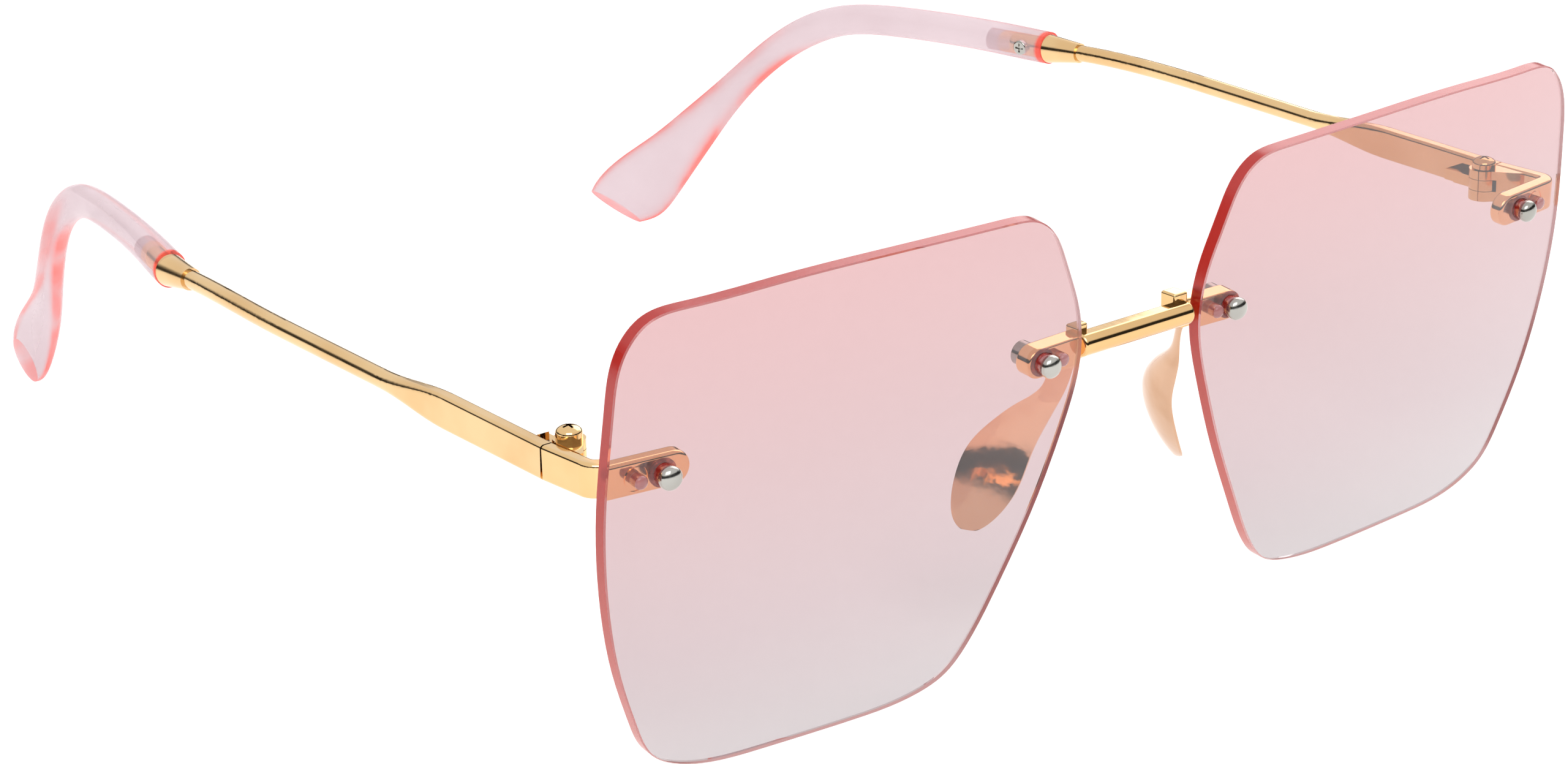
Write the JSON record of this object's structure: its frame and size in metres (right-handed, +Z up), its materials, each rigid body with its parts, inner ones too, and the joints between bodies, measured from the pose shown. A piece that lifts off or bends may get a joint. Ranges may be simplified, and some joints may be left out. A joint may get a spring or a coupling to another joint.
{
  "type": "sunglasses",
  "caption": "Rimless oversized square sunglasses with a gentle cat-eye lift, screw-mounted pink gradient lenses, slim gold metalwork and folding temples with translucent ear tips.",
  "frame": {"origin": "centre of the object's box in plan, on the surface that the lens bottoms and the ear-tip ends rest on", "axes": "+X to the wearer's left, +Y from the lenses back along the temples to the ear tips, +Z up"},
  "size_m": [0.1394, 0.1644, 0.0533],
  "materials": {
    "gold": "polished champagne gold plate",
    "tinted_lens": "clear tinted acrylic, pink at the top fading to nearly clear",
    "clear_bush": "clear plastic that takes the lens's dusty rose colour",
    "chrome": "polished",
    "nose_metal": "polished rose gold with a finely hammered rim",
    "pink_plastic": "translucent pale pink acetate, coral inside"
  },
  "bodies": {
    "front": {"bridge": "gold", "lens_right": "tinted_lens", "endpiece_right": "gold", "nose_pad_right": "nose_metal", "hinge_fork_right": "gold", "hinge_screw_right": "gold", "lens_bush_right_outer": "clear_bush", "lens_screw_right_outer": "chrome", "cap_nut_right_outer": "chrome", "lens_plug_right_outer": "clear_bush", "lens_bush_right_inner": "clear_bush", "lens_screw_right_inner": "chrome", "cap_nut_right_inner": "chrome", "lens_plug_right_inner": "clear_bush", "lens_left": "tinted_lens", "endpiece_left": "gold", "nose_pad_left": "nose_metal", "hinge_fork_left": "gold", "hinge_screw_left": "gold", "lens_bush_left_outer": "clear_bush", "lens_screw_left_outer": "chrome", "cap_nut_left_outer": "chrome", "lens_plug_left_outer": "clear_bush", "lens_bush_left_inner": "clear_bush", "lens_screw_left_inner": "chrome", "cap_nut_left_inner": "chrome", "lens_plug_left_inner": "clear_bush"},
    "temple_right": {"hinge_knuckle_right": "gold", "temple_right": "gold", "ear_tip_right": "pink_plastic", "ear_tip_screw_right": "chrome"},
    "temple_left": {"hinge_knuckle_left": "gold", "temple_left": "gold", "ear_tip_left": "pink_plastic", "ear_tip_screw_left": "chrome"}
  },
  "joints": [
    {"name": "temple_right_fold", "type": "hinge", "parent": "front", "child": "temple_right", "pos_m": [-0.06615, -0.06827, 0.03558], "axis": [0, 0, -1], "range_deg": [0, 73]},
    {"name": "temple_left_fold", "type": "hinge", "parent": "front", "child": "temple_left", "pos_m": [0.06615, -0.06827, 0.03558], "axis": [0, 0, 1], "range_deg": [0, 84]}
  ]
}
